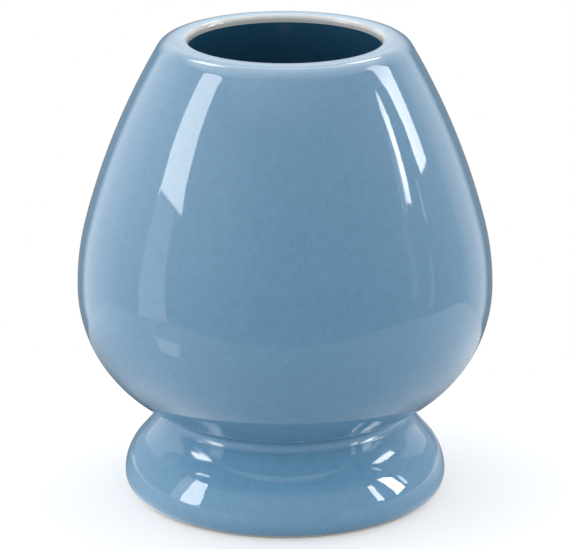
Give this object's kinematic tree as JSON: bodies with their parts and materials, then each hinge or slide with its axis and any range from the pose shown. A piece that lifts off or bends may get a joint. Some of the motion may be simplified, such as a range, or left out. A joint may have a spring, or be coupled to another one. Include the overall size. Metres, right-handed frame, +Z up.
{
  "type": "tea whisk holder",
  "caption": "Hollow glazed ceramic stand for a bamboo tea whisk: egg-shaped body open at the top, pinched neck and spreading round foot.",
  "frame": {"origin": "centre of the standing ring's flat face, at the bottom of the foot", "axes": "+Z up along the axis of the turned form, towards the mouth; the form is the same all round, so +X and +Y are free"},
  "size_m": [0.06, 0.06, 0.0674],
  "materials": {
    "bare_clay": "matte",
    "blue_glaze": "gloss"
  },
  "bodies": {
    "root": {"clay_body": "bare_clay", "outer_glaze": "blue_glaze", "inner_glaze": "blue_glaze", "recess_glaze": "blue_glaze"}
  },
  "joints": []
}
